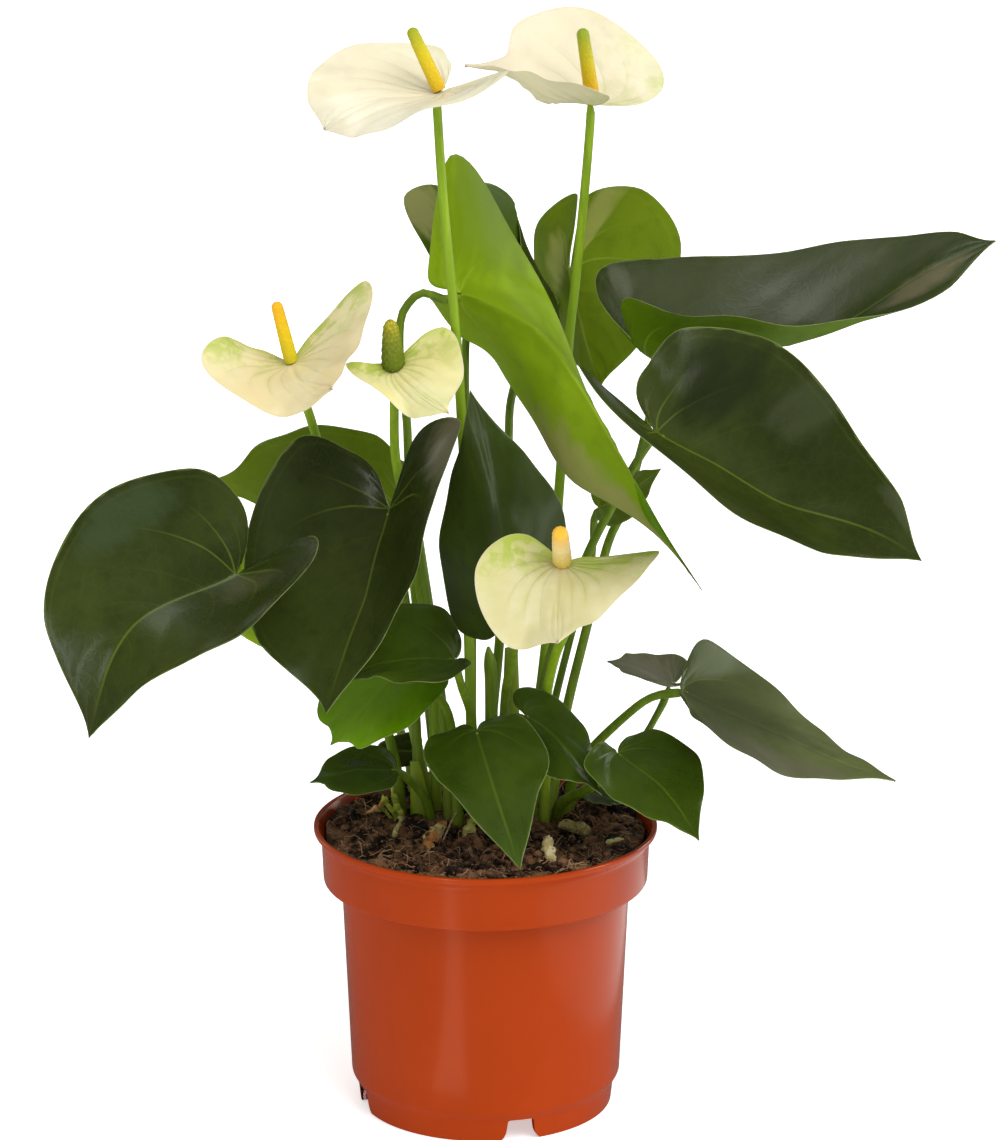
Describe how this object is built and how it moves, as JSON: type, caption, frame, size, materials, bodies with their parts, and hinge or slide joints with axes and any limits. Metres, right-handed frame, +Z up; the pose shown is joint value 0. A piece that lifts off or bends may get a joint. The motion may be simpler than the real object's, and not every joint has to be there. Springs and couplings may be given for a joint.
{
  "type": "potted anthurium",
  "caption": "White anthurium plant with glossy heart-shaped leaves, standing in its soil in a round tapered plastic nursery pot.",
  "frame": {"origin": "on the surface that the pot stands on, under the middle of the whole plant's bounding box; the pot's axis is 12.5 mm to -X and 4.8 mm to -Y of it", "axes": "+Z up along the pot's axis; +X to the right and +Y to the back, as the plant is seen in its picture"},
  "size_m": [0.3232, 0.1997, 0.383],
  "materials": {
    "pot": "semi-gloss terracotta-coloured moulded plastic",
    "soil": "damp fibrous brown peat",
    "leaf": "glossy waxy green leaf with pale veins and margin",
    "peduncle": "smooth satin lime-green flower stalk",
    "spathe": "waxy cream-white bract with sunken veins",
    "spadix": "fine bumpy yellow and green florets",
    "stub": "dry pale-green sheath and cut petiole",
    "root": "matt woody old root and stub"
  },
  "bodies": {
    "root": {"leaf_01": "leaf", "leaf_02": "leaf", "leaf_03": "leaf", "leaf_04": "leaf", "leaf_05": "leaf", "leaf_06": "leaf", "leaf_07": "leaf", "leaf_08": "leaf", "leaf_09": "leaf", "leaf_10": "leaf", "leaf_11": "leaf", "leaf_12": "leaf", "leaf_13": "leaf", "leaf_14": "leaf", "leaf_15": "leaf", "leaf_16": "leaf", "leaf_17": "leaf", "leaf_18": "leaf", "leaf_19": "leaf", "leaf_20": "leaf", "leaf_21": "leaf", "flower_1_spathe": "spathe", "flower_1_stalk": "peduncle", "flower_1_spadix": "spadix", "flower_2_spathe": "spathe", "flower_2_stalk": "peduncle", "flower_2_spadix": "spadix", "flower_3_spathe": "spathe", "flower_3_stalk": "peduncle", "flower_3_spadix": "spadix", "flower_4_spathe": "spathe", "flower_4_stalk": "peduncle", "flower_4_spadix": "spadix", "flower_5_spathe": "spathe", "flower_5_stalk": "peduncle", "flower_5_spadix": "spadix", "stub_1": "stub", "stub_2": "stub", "bract_1": "stub", "root_1": "root", "root_2": "root", "root_3": "root", "soil": "soil", "pot": "pot"}
  },
  "joints": []
}
